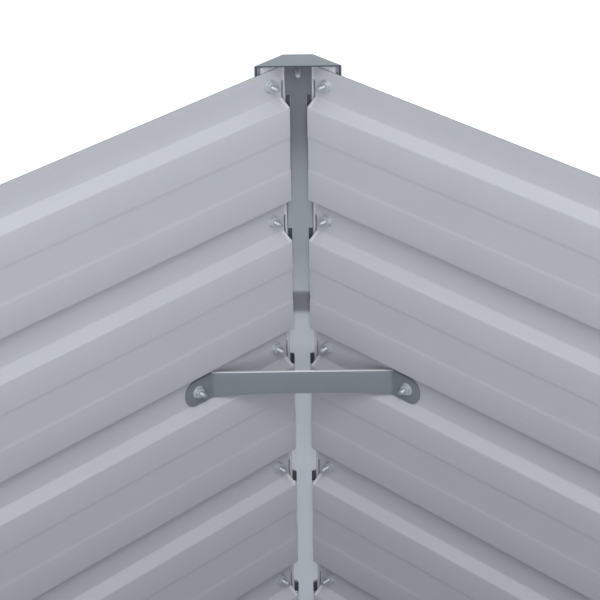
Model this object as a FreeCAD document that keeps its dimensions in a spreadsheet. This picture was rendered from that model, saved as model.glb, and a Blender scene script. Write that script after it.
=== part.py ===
import FreeCAD, Part
import os
import Sketcher

# A raised garden bed of folded steel: four walls of lapped planks, joined at each corner by an
# outer column, a windowed inner post, a diagonal brace and a cap, with bolts and nuts in every row.
# The origin lies at the middle of the bed on the ground, +Z is up, and lengths are in millimetres.

SIZES = [
    ("bed_length", 1000, "overall size along X, over the outer columns"),
    ("bed_width", 1000, "overall size along Y, over the outer columns"),
    ("row_count", 7, "planks in each wall, one above another"),
    ("row_pitch", 108, "height from one row to the next"),
    ("lap_gap", 0.1, "play between sheets that lie on each other"),
    ("plank_sheet", 0.8, "sheet of a plank"),
    ("post_sheet", 0.8, "sheet of an inner post"),
    ("column_sheet", 1, "sheet of an outer column"),
    ("cap_sheet", 1, "sheet of a cap"),
    # The profile of a plank, measured from the fold where its sloped shoulder meets its face.
    ("crest_height", 29.5, "fold up to the top edge"),
    ("shoulder_height", 5.6, "fold up to the bend between shoulder and band"),
    ("rib_depth", 8.5, "how far the face stands inward of the band"),
    ("face_height", 75, "fold down to the lower edge of the face"),
    ("groove_start", 23, "fold down to the shallow groove in the face"),
    ("groove_height", 28, "height of that groove"),
    ("groove_depth", 0.6, "depth of that groove"),
    ("groove_slope", 2, "height of the groove's slanted edges"),
    ("hook_fall", 2, "fall of the sheet from the face out to the lip"),
    ("lip_drop", 84, "fold down to the edge of the outer lip"),
    ("plank_setback", 15.2, "top of a plank's end from the corner of the bands"),
    ("rib_setback", 17.2, "end of a plank below its bolts from the corner of the bands"),
    # The outer column and the inner post.
    ("flange_length", 38.5, "corner of the bands to the column's edge"),
    ("chamfer_width", 20, "width of the column's chamfer, on its inside"),
    ("post_flange_length", 36, "corner of the bands to the post's edge"),
    ("post_width", 20.4, "width of the post's front, on its inside"),
    ("window_reach", 9.4, "outer edge of a window from the middle of the post"),
    ("window_width", 3.2, "width of the windows behind the ribs' ends"),
    ("window_rise", 5.3, "top of a window above the plank's fold"),
    ("window_fall", 4, "bottom of a window and a slot below the plank's fold"),
    ("slot_start", 14.2, "slot in the post's flange from the corner of the bands"),
    ("slot_width", 2.2, "width of that slot, which rises to the bolts"),
    # The fasteners.
    ("bolt_size", 4, "thread of the bolts"),
    ("bolt_setback", 29, "bolts from the corner of the bands"),
    ("bolt_height", 18, "fold up to the bolts"),
    ("bolt_reach", 10.5, "tip of a bolt from the band"),
    ("hole_gap", 0.2, "play all round a bolt or screw"),
    ("head_flats", 7, "width over the flats of a bolt head"),
    ("head_height", 2.8, "height of a bolt head"),
    ("nut_flats", 7, "width over the flats of a nut"),
    ("nut_height", 3.2, "height of a nut"),
    ("screw_size", 4, "thread of the cap's screw"),
    ("screw_head_size", 8, "diameter of its head"),
    ("screw_head_height", 2.4, "height of its head"),
    ("screw_drop", 4, "screw below the top edge of the wall"),
    ("screw_reach", 11.5, "tip of the screw past the post's front"),
    # The brace across a corner.
    ("brace_height", 19, "height of the bar"),
    ("brace_sheet", 2, "thickness of the bar"),
    ("brace_bend", 94, "bend from the corner of the bands"),
    ("brace_hole", 110, "bolt from the corner of the bands"),
    ("brace_bolt_height", 17, "fold up to the brace's bolts"),
    ("brace_margin", 11, "bolt to the bar's end"),
    ("brace_rounding", 9.3, "radius of the corners of the bar's ends"),
    # The cap on a corner.
    ("cap_reach", 39.5, "corner of the bands to the cap's ends"),
    ("cap_rise", 6.5, "top of the cap above the wall"),
    ("skirt_height", 10.2, "height of the cap over its side skirts"),
    ("tongue_height", 21, "height of the cap over its outer tongue"),
    ("tongue_margin", 1.5, "tongue's edges in from the chamfer's edges"),
]

WALLS = ["front", "right", "back", "left"]
CORNERS = ["front_left", "front_right", "back_right", "back_left"]
BRACED_ROW_FROM_TOP = 3

doc = FreeCAD.newDocument("raised_garden_bed")
sheet = doc.addObject("Spreadsheet::Sheet", "Sizes")
for line, (alias, value, meaning) in enumerate(SIZES, start=1):
    sheet.set(f"A{line}", alias)
    sheet.set(f"B{line}", str(value))
    sheet.set(f"C{line}", meaning)
    sheet.setAlias(f"B{line}", alias)
doc.recompute()

row_count = int(sheet.row_count)
braced_row = max(row_count - BRACED_ROW_FROM_TOP, 0)

# Derived lengths, as expressions of the cells. A skin is how far outside a band's inner side the
# inner side of the next sheet lies: the post's flange lies on the band, the column on the post,
# and the cap on the column.
POST_SKIN = "(Sizes.plank_sheet + Sizes.lap_gap)"
COLUMN_SKIN = f"({POST_SKIN} + Sizes.post_sheet + Sizes.lap_gap)"
OUTSIDE = f"({COLUMN_SKIN} + Sizes.column_sheet)"
CAP_SKIN = f"({OUTSIDE} + Sizes.lap_gap)"
HALF_LENGTH = f"(Sizes.bed_length / 2 - {OUTSIDE})"
HALF_WIDTH = f"(Sizes.bed_width / 2 - {OUTSIDE})"
WALL_HEIGHT = "(Sizes.lip_drop + (Sizes.row_count - 1) * Sizes.row_pitch + Sizes.crest_height)"
CAP_TOP = f"({WALL_HEIGHT} + Sizes.cap_rise)"
POST_HEIGHT = f"({CAP_TOP} - Sizes.cap_sheet - Sizes.lap_gap)"
POST_DEPTH = f"(Sizes.post_width / 2 - sqrt(2) * {POST_SKIN})"
SCREW_HEIGHT = f"({WALL_HEIGHT} - Sizes.screw_drop)"
CHAMFER_DEPTH = f"(Sizes.chamfer_width / 2 - sqrt(2) * {COLUMN_SKIN})"
HOLE = "(Sizes.bolt_size + 2 * Sizes.hole_gap)"


def origin_feature(body, role):
    """The body's own origin plane or axis with this role."""
    return next(part for part in body.Origin.OriginFeatures if part.Role == role)


def new_body(label):
    """An empty body, which may hold several solids of one kind."""
    body = doc.addObject("PartDesign::Body", label)
    body.Label = label
    body.AllowCompound = True
    return body


def new_sketch(body, name, role, turn=0, shift="0 mm"):
    """A sketch on an origin plane, turned about its own upright, then shifted along its normal."""
    sketch = body.newObject("Sketcher::SketchObject", name)
    sketch.AttachmentSupport = (origin_feature(body, role), "")
    sketch.MapMode = "FlatFace"
    upright = FreeCAD.Rotation(FreeCAD.Vector(0, 1, 0), turn)
    sketch.AttachmentOffset = FreeCAD.Placement(FreeCAD.Vector(), upright)
    sketch.setExpression("AttachmentOffset.Base.x", f"({shift}) * sin({turn})")
    sketch.setExpression("AttachmentOffset.Base.z", f"({shift}) * cos({turn})")
    return sketch


def pin_vertex(sketch, edge, end, position):
    """Tie one end of a line to a pair of expressions."""
    for axis, expression in zip(("DistanceX", "DistanceY"), position):
        value = sketch.evalExpression(expression)
        index = sketch.addConstraint(Sketcher.Constraint(axis, -1, 1, edge, end, float(value)))
        sketch.setExpression(f"Constraints[{index}]", expression)


def draw_chain(sketch, points, closed):
    """Lines from point to point; returns the numbers of the lines."""
    places = [FreeCAD.Vector(*(float(sketch.evalExpression(word)) for word in point), 0)
              for point in points]
    ends = places[1:] + places[:1] if closed else places[1:]
    edges = [sketch.addGeometry(Part.LineSegment(start, end), False)
             for start, end in zip(places, ends)]
    for before, after in zip(edges, edges[1:]):
        sketch.addConstraint(Sketcher.Constraint("Coincident", before, 2, after, 1))
    return edges


def draw_loop(sketch, points):
    """A closed polygon whose corners are pairs of expressions."""
    edges = draw_chain(sketch, points, closed=True)
    sketch.addConstraint(Sketcher.Constraint("Coincident", edges[-1], 2, edges[0], 1))
    for edge, point in zip(edges, points):
        pin_vertex(sketch, edge, 1, point)


def draw_folded_sheet(sketch, points, thickness, side):
    """The section of a folded sheet: a pinned chain, and its parallel at the sheet's thickness.

    side is 1 where the second skin lies to the left of the chain, and -1 to its right.
    """
    first = draw_chain(sketch, points, closed=False)
    for edge, point in zip(first, points):
        pin_vertex(sketch, edge, 1, point)
    pin_vertex(sketch, first[-1], 2, points[-1])
    gauge = float(sketch.evalExpression(thickness)) * side
    lines = [sketch.Geometry[edge] for edge in first]
    normals = []
    for line in lines:
        along = (line.EndPoint - line.StartPoint).normalize()
        normals.append(FreeCAD.Vector(-along.y, along.x, 0))
    corners = [lines[0].StartPoint + normals[0] * gauge]
    for line, before, after in zip(lines, normals, normals[1:]):
        corners.append(line.EndPoint + (before + after) * (gauge / (1 + before.dot(after))))
    corners.append(lines[-1].EndPoint + normals[-1] * gauge)
    second = [sketch.addGeometry(Part.LineSegment(start, end), False)
              for start, end in zip(corners, corners[1:])]
    for before, after in zip(second, second[1:]):
        sketch.addConstraint(Sketcher.Constraint("Coincident", before, 2, after, 1))
    for inner, outer in zip(first, second):
        sketch.addConstraint(Sketcher.Constraint("Parallel", inner, outer))
        index = sketch.addConstraint(Sketcher.Constraint("Distance", outer, 1, inner, abs(gauge)))
        sketch.setExpression(f"Constraints[{index}]", thickness)
    for inner, outer, end in ((first[0], second[0], 1), (first[-1], second[-1], 2)):
        cut = sketch.addGeometry(Part.LineSegment(
            sketch.Geometry[inner].StartPoint if end == 1 else sketch.Geometry[inner].EndPoint,
            sketch.Geometry[outer].StartPoint if end == 1 else sketch.Geometry[outer].EndPoint,
        ), False)
        sketch.addConstraint(Sketcher.Constraint("Coincident", cut, 1, inner, end))
        sketch.addConstraint(Sketcher.Constraint("Coincident", cut, 2, outer, end))
        sketch.addConstraint(Sketcher.Constraint("Perpendicular", cut, inner))


def rectangle(left, right, low, high):
    """The corners of an upright rectangle."""
    return [(left, low), (right, low), (right, high), (left, high)]


def square(across, up, size):
    """The corners of a square round a point."""
    half = f"{size} / 2"
    return rectangle(f"{across} - {half}", f"{across} + {half}", f"{up} - {half}", f"{up} + {half}")


def hexagon(across, up, flats):
    """The corners of a hexagon round a point, by its width over the flats."""
    return [(f"{across} + {flats} / sqrt(3) * cos({turn})", f"{up} + {flats} / sqrt(3) * sin({turn})")
            for turn in range(0, 360, 60)]


def mirrored(points):
    """The same points on the other side of the corner's diagonal, in the opposite order."""
    return [(f"-({across})", deep) for across, deep in reversed(points)]


def from_wall(along, inward):
    """A point of a wall, by its distances from the corner and from the band, in corner axes."""
    return f"({along} - ({inward})) / sqrt(2)", f"({along} + ({inward})) / sqrt(2)"


def pad(body, sketch, length, reverse=False, both_ways=False):
    """Extrude a sketch along its normal."""
    feature = body.newObject("PartDesign::Pad", f"{sketch.Name}_pad")
    feature.Profile = sketch
    feature.setExpression("Length", length)
    feature.Reversed = reverse
    feature.SideType = "Symmetric" if both_ways else "One side"
    body.Tip = feature
    return feature


def pocket(body, sketch, ahead, behind="0 mm"):
    """Cut a sketch's outline out of the body, this far against and along the sketch's normal."""
    feature = body.newObject("PartDesign::Pocket", f"{sketch.Name}_cut")
    feature.Profile = sketch
    feature.SideType = "Two sides"
    feature.setExpression("Length", ahead)
    feature.setExpression("Length2", behind)
    body.Tip = feature
    return feature


def repeat_over_rows_and_sides(body, features):
    """Copy what was made for the lowest row of one wall to every row and to the other wall."""
    rows = body.newObject("PartDesign::LinearPattern", f"{features[0].Name}_rows")
    rows.Direction = (origin_feature(body, "Z_Axis"), [""])
    rows.setExpression("Length", "(Sizes.row_count - 1) * Sizes.row_pitch")
    rows.setExpression("Occurrences", "Sizes.row_count")
    sides = body.newObject("PartDesign::Mirrored", f"{features[0].Name}_sides")
    sides.MirrorPlane = (origin_feature(body, "YZ_Plane"), [""])
    both = body.newObject("PartDesign::MultiTransform", f"{features[0].Name}_all")
    both.Originals = features
    both.Transformations = [rows, sides]
    body.Tip = both


def place(body, x, y, z, turn):
    """Set a body in the bed, turned about the upright axis."""
    body.Placement = FreeCAD.Placement(FreeCAD.Vector(), FreeCAD.Rotation(turn, 0, 0))
    body.setExpression("Placement.Base.x", x)
    body.setExpression("Placement.Base.y", y)
    body.setExpression("Placement.Base.z", z)


def place_at_corner(body, corner):
    """Set a corner's body: its Y axis is the diagonal that points into the bed."""
    x_sign, y_sign = [("-", "-"), ("", "-"), ("", ""), ("-", "")][corner]
    place(body, f"{x_sign}{HALF_LENGTH}", f"{y_sign}{HALF_WIDTH}", "0 mm", 90 * corner - 45)


def build_plank(wall, row):
    """One plank: a band at the top, a sloped shoulder, a face with a groove, and a hooked lip."""
    body = new_body(f"plank_{WALLS[wall]}_{row + 1}")
    half_wall = HALF_LENGTH if wall % 2 == 0 else HALF_WIDTH
    half = f"({half_wall} - Sizes.plank_setback)"
    groove = "(Sizes.rib_depth - Sizes.groove_depth)"
    groove_end = "(Sizes.groove_start + Sizes.groove_height)"
    section = new_sketch(body, f"{body.Name}_section", "YZ_Plane")
    draw_folded_sheet(section, [
        ("0", "Sizes.crest_height"),
        ("0", "Sizes.shoulder_height"),
        ("Sizes.rib_depth", "0"),
        ("Sizes.rib_depth", "-Sizes.groove_start"),
        (groove, "-Sizes.groove_start - Sizes.groove_slope"),
        (groove, f"-{groove_end} + Sizes.groove_slope"),
        ("Sizes.rib_depth", f"-{groove_end}"),
        ("Sizes.rib_depth", "-Sizes.face_height"),
        (f"-{POST_SKIN}", "-Sizes.face_height - Sizes.hook_fall"),
        (f"-{POST_SKIN}", "-Sizes.lip_drop"),
    ], "Sizes.plank_sheet", side=-1)
    pad(body, section, f"2 * {half}", both_ways=True)

    # Bolt holes, and below the bolts the plank's ends are cut back.
    bolts = [(f"({half_wall} - Sizes.bolt_setback)", "Sizes.bolt_height")]
    if row == braced_row:
        bolts.append((f"({half_wall} - Sizes.brace_hole)", "Sizes.brace_bolt_height"))
    openings = new_sketch(body, f"{body.Name}_holes", "XZ_Plane")
    for sign in ("-", ""):
        for along, up in bolts:
            draw_loop(openings, square(f"{sign}{along}", up, HOLE))
        ends = (f"{sign}{half}", f"{sign}({half_wall} - Sizes.rib_setback)")
        left, right = ends if sign == "-" else reversed(ends)
        draw_loop(openings, rectangle(left, right, "-Sizes.lip_drop", "Sizes.bolt_height"))
    pocket(body, openings, "2 * Sizes.rib_depth", "2 * Sizes.rib_depth")

    # The hook and the lip stop short of the corners, where the column's flanges lie on the band.
    corner_clear = f"({half_wall} - Sizes.flange_length - 5 * Sizes.lap_gap)"
    trims = new_sketch(body, f"{body.Name}_trims", "XZ_Plane")
    for sign in ("-", ""):
        ends = (f"{sign}{half}", f"{sign}{corner_clear}")
        left, right = ends if sign == "-" else reversed(ends)
        draw_loop(trims, rectangle(left, right, "-Sizes.lip_drop",
                                   "-Sizes.face_height + 2 * Sizes.plank_sheet"))
    pocket(body, trims, "Sizes.rib_depth - Sizes.plank_sheet", "2 * Sizes.rib_depth")

    x = ["0 mm", HALF_LENGTH, "0 mm", f"-{HALF_LENGTH}"][wall]
    y = [f"-{HALF_WIDTH}", "0 mm", HALF_WIDTH, "0 mm"][wall]
    place(body, x, y, f"Sizes.lip_drop + {row} * Sizes.row_pitch", 90 * wall)
    return body


def build_column(corner):
    """The outer column: two flanges on the outside of the walls and a chamfer between them."""
    body = new_body(f"column_{CORNERS[corner]}")
    flange = [
        from_wall("Sizes.flange_length", f"-{COLUMN_SKIN}"),
        ("Sizes.chamfer_width / 2", CHAMFER_DEPTH),
    ]
    section = new_sketch(body, f"{body.Name}_section", "XY_Plane")
    draw_folded_sheet(section, flange + mirrored(flange), "Sizes.column_sheet", side=1)
    pad(body, section, POST_HEIGHT)
    screw_hole = new_sketch(body, f"{body.Name}_screw_hole", "XZ_Plane")
    draw_loop(screw_hole, square("0", SCREW_HEIGHT, "(Sizes.screw_size + 2 * Sizes.hole_gap)"))
    pocket(body, screw_hole, "Sizes.chamfer_width", "2 * Sizes.column_sheet")
    holes = new_sketch(body, f"{body.Name}_holes", "XZ_Plane", turn=45)
    draw_loop(holes, square("Sizes.bolt_setback", "Sizes.lip_drop + Sizes.bolt_height", HOLE))
    cut = pocket(body, holes, "0 mm", f"2 * {OUTSIDE}")
    repeat_over_rows_and_sides(body, [cut])
    place_at_corner(body, corner)
    return body


def build_post(corner):
    """The inner post: flanges between walls and column, and a chamfer with windows and slots."""
    body = new_body(f"post_{CORNERS[corner]}")
    half = "Sizes.post_width / 2"
    flange = [
        from_wall("Sizes.post_flange_length", f"-{POST_SKIN}"),
        (half, POST_DEPTH),
    ]
    section = new_sketch(body, f"{body.Name}_section", "XY_Plane")
    draw_folded_sheet(section, flange + mirrored(flange), "Sizes.post_sheet", side=1)
    pad(body, section, POST_HEIGHT)
    screw_hole = new_sketch(body, f"{body.Name}_screw_hole", "XZ_Plane")
    draw_loop(screw_hole, square("0", SCREW_HEIGHT, "(Sizes.screw_size + 2 * Sizes.hole_gap)"))
    pocket(body, screw_hole, "2 * Sizes.post_width")
    holes = new_sketch(body, f"{body.Name}_holes", "XZ_Plane", turn=45)
    draw_loop(holes, square("Sizes.bolt_setback", "Sizes.lip_drop + Sizes.bolt_height", HOLE))
    draw_loop(holes, rectangle(
        "Sizes.slot_start", "Sizes.slot_start + Sizes.slot_width",
        "Sizes.lip_drop - Sizes.window_fall", "Sizes.lip_drop + Sizes.bolt_height"))
    hole_cut = pocket(body, holes, "0 mm", f"2 * {OUTSIDE}")
    windows = new_sketch(body, f"{body.Name}_windows", "XZ_Plane", shift=f"-{POST_DEPTH}")
    draw_loop(windows, rectangle(
        "Sizes.window_reach - Sizes.window_width", "Sizes.window_reach",
        "Sizes.lip_drop - Sizes.window_fall", "Sizes.lip_drop + Sizes.window_rise"))
    window_cut = pocket(body, windows, "Sizes.lap_gap", "2 * Sizes.post_sheet")
    repeat_over_rows_and_sides(body, [hole_cut, window_cut])
    place_at_corner(body, corner)
    return body


def build_cap(corner):
    """The cap: a flat top cut straight across the diagonal, side skirts and a longer tongue."""
    body = new_body(f"cap_{CORNERS[corner]}")
    inner_depth = f"({CHAMFER_DEPTH} - Sizes.column_sheet - Sizes.lap_gap)"
    outer_depth = f"({inner_depth} - Sizes.cap_sheet)"
    outer_skin = f"({CAP_SKIN} + Sizes.cap_sheet)"
    side = [
        from_wall("Sizes.cap_reach", f"-{CAP_SKIN}"),
        (f"{inner_depth} + sqrt(2) * {CAP_SKIN}", inner_depth),
    ]
    skirt = new_sketch(body, f"{body.Name}_skirt", "XY_Plane", shift=CAP_TOP)
    draw_folded_sheet(skirt, side + mirrored(side), "Sizes.cap_sheet", side=1)
    pad(body, skirt, "Sizes.skirt_height", reverse=True)
    edge = [
        from_wall("Sizes.cap_reach", f"-{CAP_SKIN}"),
        from_wall("Sizes.cap_reach", f"-{outer_skin}"),
        (f"{outer_depth} + sqrt(2) * {outer_skin}", outer_depth),
    ]
    top = new_sketch(body, f"{body.Name}_top", "XY_Plane", shift=CAP_TOP)
    draw_loop(top, edge + mirrored(edge))
    pad(body, top, "Sizes.cap_sheet", reverse=True)
    half = "(Sizes.chamfer_width / 2 - Sizes.tongue_margin)"
    tongue = new_sketch(body, f"{body.Name}_tongue", "XZ_Plane", shift=f"-{inner_depth}")
    draw_loop(tongue, rectangle(f"-{half}", half, f"{CAP_TOP} - Sizes.tongue_height", CAP_TOP))
    pad(body, tongue, "Sizes.cap_sheet")
    screw_hole = new_sketch(body, f"{body.Name}_screw_hole", "XZ_Plane", shift=f"-{outer_depth}")
    draw_loop(screw_hole, square("0", SCREW_HEIGHT, "(Sizes.screw_size + 2 * Sizes.hole_gap)"))
    pocket(body, screw_hole, "2 * Sizes.cap_sheet")
    place_at_corner(body, corner)
    return body


def build_brace(corner):
    """The brace: a flat bar across the corner, its bent ends rounded and bolted to the bands."""
    body = new_body(f"brace_{CORNERS[corner]}")
    bolt_level = f"(Sizes.lip_drop + {braced_row} * Sizes.row_pitch + Sizes.brace_bolt_height)"
    tab = [
        from_wall("Sizes.brace_hole + Sizes.brace_margin", "Sizes.lap_gap"),
        from_wall("Sizes.brace_bend", "Sizes.lap_gap"),
    ]
    section = new_sketch(body, f"{body.Name}_section", "XY_Plane", shift=bolt_level)
    draw_folded_sheet(section, tab + mirrored(tab), "Sizes.brace_sheet", side=-1)
    bar = pad(body, section, "Sizes.brace_height", both_ways=True)
    doc.recompute()
    reach = float(sheet.brace_hole) + float(sheet.brace_margin)
    ends = []
    for number, edge in enumerate(bar.Shape.Edges, start=1):
        middle = edge.CenterOfMass
        at_end = abs(abs(middle.x) + middle.y - reach * 2 ** 0.5) < float(sheet.lap_gap)
        if at_end and abs(edge.Length - float(sheet.brace_sheet)) < float(sheet.lap_gap):
            ends.append(f"Edge{number}")
    rounding = body.newObject("PartDesign::Fillet", f"{body.Name}_rounding")
    rounding.Base = (bar, ends)
    rounding.setExpression("Radius", "min(Sizes.brace_rounding; 0.49 * Sizes.brace_height)")
    body.Tip = rounding
    for name, turn, sign in (("right", 45, ""), ("left", -45, "-")):
        hole = new_sketch(body, f"{body.Name}_hole_{name}", "XZ_Plane", turn=turn)
        draw_loop(hole, square(f"{sign}Sizes.brace_hole", bolt_level, HOLE))
        pocket(body, hole, "2 * Sizes.brace_sheet")
    place_at_corner(body, corner)
    return body


def draw_bolt(body, name, along, up, inner_face, turn=45):
    """One bolt: a hexagonal head outside and a shank, drawn square like the holes it fits."""
    sign = "" if turn > 0 else "-"
    across = f"{sign}{along}"
    head = new_sketch(body, f"{name}_head", "XZ_Plane", turn=turn, shift=inner_face)
    draw_loop(head, hexagon(across, up, "Sizes.head_flats"))
    shank = new_sketch(body, f"{name}_shank", "XZ_Plane", turn=turn, shift=inner_face)
    draw_loop(shank, square(across, up, "Sizes.bolt_size"))
    return [
        pad(body, head, "Sizes.head_height"),
        pad(body, shank, f"{inner_face} + Sizes.bolt_reach", reverse=True),
    ]


def draw_nut(body, name, along, up, seat, turn=45):
    """One nut on the inside of the wall, whose thread runs through it."""
    sign = "" if turn > 0 else "-"
    across = f"{sign}{along}"
    ring = new_sketch(body, f"{name}_ring", "XZ_Plane", turn=turn, shift=f"-({seat})")
    draw_loop(ring, hexagon(across, up, "Sizes.nut_flats"))
    draw_loop(ring, square(across, up, "(Sizes.bolt_size + Sizes.lap_gap)"))
    return pad(body, ring, "Sizes.nut_height", reverse=True)


def build_fasteners(corner):
    """The bolts of one corner, and their nuts: one in every row of both walls, two in the brace."""
    lowest = "(Sizes.lip_drop + Sizes.bolt_height)"
    braced = f"(Sizes.lip_drop + {braced_row} * Sizes.row_pitch + Sizes.brace_bolt_height)"
    bolts = new_body(f"bolts_{CORNERS[corner]}")
    repeat_over_rows_and_sides(
        bolts, draw_bolt(bolts, f"{bolts.Name}_row", "Sizes.bolt_setback", lowest, OUTSIDE))
    nuts = new_body(f"nuts_{CORNERS[corner]}")
    repeat_over_rows_and_sides(nuts, [
        draw_nut(nuts, f"{nuts.Name}_row", "Sizes.bolt_setback", lowest, "Sizes.lap_gap")])
    for name, turn in (("right", 45), ("left", -45)):
        draw_bolt(bolts, f"{bolts.Name}_{name}", "Sizes.brace_hole", braced, POST_SKIN, turn)
        draw_nut(nuts, f"{nuts.Name}_{name}", "Sizes.brace_hole", braced,
                 "Sizes.brace_sheet + 2 * Sizes.lap_gap", turn)
    place_at_corner(bolts, corner)
    place_at_corner(nuts, corner)
    return [bolts, nuts]


def build_cap_screw(corner):
    """The screw that holds the cap's tongue to the column and reaches through the post."""
    body = new_body(f"cap_screw_{CORNERS[corner]}")
    seat = f"({CHAMFER_DEPTH} - Sizes.column_sheet - Sizes.cap_sheet - 2 * Sizes.lap_gap)"
    head = new_sketch(body, f"{body.Name}_head", "XZ_Plane", shift=f"-{seat}")
    draw_loop(head, hexagon("0", SCREW_HEIGHT, "Sizes.screw_head_size"))
    pad(body, head, "Sizes.screw_head_height")
    shank = new_sketch(body, f"{body.Name}_shank", "XZ_Plane", shift=f"-{seat}")
    draw_loop(shank, square("0", SCREW_HEIGHT, "Sizes.screw_size"))
    pad(body, shank, f"{POST_DEPTH} + Sizes.screw_reach - {seat}", reverse=True)
    place_at_corner(body, corner)
    return body


pieces = []
for wall in range(len(WALLS)):
    pieces += [build_plank(wall, row) for row in range(row_count)]
for corner in range(len(CORNERS)):
    pieces += [build_column(corner), build_post(corner), build_cap(corner), build_brace(corner)]
    pieces += build_fasteners(corner)
    pieces.append(build_cap_screw(corner))
doc.recompute()

for item in doc.Objects:
    if "Invalid" in item.State or "Error" in item.State:
        raise RuntimeError(f"{item.Label} failed: {item.State}")
for piece in pieces:
    if piece.Shape.isNull() or not piece.Shape.isValid():
        raise RuntimeError(f"{piece.Label} has no valid shape")

os.makedirs("parts", exist_ok=True)
for piece in pieces:
    piece.Shape.exportStep(f"parts/{piece.Label}.step")
print(f"{len(pieces)} pieces written")
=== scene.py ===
"""Looks of a raised garden bed of folded steel, seen down into one inside corner.

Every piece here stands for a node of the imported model, and is worked out from the same driving
dimensions. They are in millimetres, and meshes are turned into metres when they are placed.
"""

import logging
import math
from collections.abc import Callable, Iterable
from dataclasses import dataclass
from enum import Enum

import bmesh
import bpy
from mathutils import Matrix, Vector


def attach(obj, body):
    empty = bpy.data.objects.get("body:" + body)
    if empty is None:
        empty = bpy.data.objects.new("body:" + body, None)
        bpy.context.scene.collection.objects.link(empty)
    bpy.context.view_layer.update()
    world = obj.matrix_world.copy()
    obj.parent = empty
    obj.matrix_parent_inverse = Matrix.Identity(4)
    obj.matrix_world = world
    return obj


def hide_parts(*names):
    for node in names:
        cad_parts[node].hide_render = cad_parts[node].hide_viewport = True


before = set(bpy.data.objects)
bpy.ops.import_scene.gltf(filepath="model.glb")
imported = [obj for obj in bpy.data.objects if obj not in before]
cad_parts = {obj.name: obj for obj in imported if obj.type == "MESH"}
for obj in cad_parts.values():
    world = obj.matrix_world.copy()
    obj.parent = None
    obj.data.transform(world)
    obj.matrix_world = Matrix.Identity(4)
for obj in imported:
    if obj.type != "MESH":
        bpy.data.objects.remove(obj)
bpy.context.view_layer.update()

MM = 0.001
ROOT_2 = math.sqrt(2)
SLACK = 0.1  # allowance, in millimetres, when the places of corners and edges are compared
CUT_DISTANCE = 1e-4
WELD_DISTANCE = 1e-3
FACING = 0.5  # least part of a face's normal along an axis for the face to look that way
LOG = logging.getLogger("raised_garden_bed")

Point = tuple[float, float]


class Wall(Enum):
    """The four walls, with their quarter turns about the upright axis."""

    FRONT = 0
    RIGHT = 1
    BACK = 2
    LEFT = 3


class Corner(Enum):
    """The four corners, with their quarter turns about the upright axis."""

    FRONT_LEFT = 0
    FRONT_RIGHT = 1
    BACK_RIGHT = 2
    BACK_LEFT = 3


class Slot(Enum):
    """The record's material slots."""

    PLANK = "plank_steel"
    CORNER = "corner_steel"
    ZINC = "zinc"


class Grain(Enum):
    """The way that the streaks of a rolled sheet run on the finished bed."""

    LEVEL = "level"
    UPRIGHT = "upright"


# ---- Sizes ----


@dataclass(frozen=True)
class BedSizes:
    """The sizes that several pieces share, in millimetres."""

    length: float = 1000
    width: float = 1000
    rows: int = 7
    row_pitch: float = 108
    play: float = 0.1
    plank_sheet: float = 0.8
    post_sheet: float = 0.8
    column_sheet: float = 1
    cap_sheet: float = 1
    crest_height: float = 29.5
    lip_drop: float = 84
    bolt_setback: float = 29
    bolt_height: float = 18
    brace_row: int = 4
    brace_hole: float = 110
    brace_bolt_height: float = 17
    cap_rise: float = 6.5
    screw_drop: float = 4

    @property
    def post_skin(self) -> float:
        """How far outside a band's inner side the post's flange begins."""
        return self.plank_sheet + self.play

    @property
    def column_skin(self) -> float:
        """How far outside a band's inner side the column's flange begins."""
        return self.post_skin + self.post_sheet + self.play

    @property
    def outside(self) -> float:
        """How far outside a band's inner side the column ends."""
        return self.column_skin + self.column_sheet

    @property
    def wall_height(self) -> float:
        """The top edge of the highest plank."""
        return self.lip_drop + (self.rows - 1) * self.row_pitch + self.crest_height

    @property
    def cap_top(self) -> float:
        """The top of the caps."""
        return self.wall_height + self.cap_rise

    @property
    def post_height(self) -> float:
        """The top of the posts and columns, under the caps."""
        return self.cap_top - self.cap_sheet - self.play

    def fold(self, row: int) -> float:
        """The height of the fold between shoulder and face in a row, counted from 0."""
        return self.lip_drop + row * self.row_pitch

    def half_wall(self, wall: Wall) -> float:
        """Half the length of a wall between the corners of its bands."""
        across = self.length if wall in (Wall.FRONT, Wall.BACK) else self.width
        return across / 2 - self.outside

    def wall_place(self, wall: Wall) -> Matrix:
        """The matrix from a wall's axes (along, inward, up) to the bed's.

        Args:
            wall: The wall to place.

        Returns:
            A matrix in millimetres.
        """
        reach = self.half_wall(Wall.RIGHT if wall in (Wall.FRONT, Wall.BACK) else Wall.FRONT)
        turn = Matrix.Rotation(math.radians(90 * wall.value), 4, "Z")
        return turn @ Matrix.Translation((0, -reach, 0))

    def corner_place(self, corner: Corner) -> Matrix:
        """The matrix from a corner's axes (across, into the bed, up) to the bed's.

        Args:
            corner: The corner to place.

        Returns:
            A matrix in millimetres.
        """
        half_x = self.half_wall(Wall.FRONT)
        half_y = self.half_wall(Wall.RIGHT)
        sign_x, sign_y = [(-1, -1), (1, -1), (1, 1), (-1, 1)][corner.value]
        turn = Matrix.Rotation(math.radians(90 * corner.value - 45), 4, "Z")
        return Matrix.Translation((sign_x * half_x, sign_y * half_y, 0)) @ turn


SIZES = BedSizes()


def from_wall(along: float, inward: float) -> Point:
    """A point of the right-hand wall in a corner's axes.

    Args:
        along: Distance along the wall from the corner of the bands.
        inward: Distance into the bed from the band's inner side.

    Returns:
        The point's distance across the diagonal, and along it into the bed.
    """
    return (along - inward) / ROOT_2, (along + inward) / ROOT_2


def mirrored(points: Iterable[Point]) -> list[Point]:
    """The same points on the other side of the diagonal, in the opposite order."""
    return [(-across, deep) for across, deep in reversed(list(points))]


# ---- Mesh work ----


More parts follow.
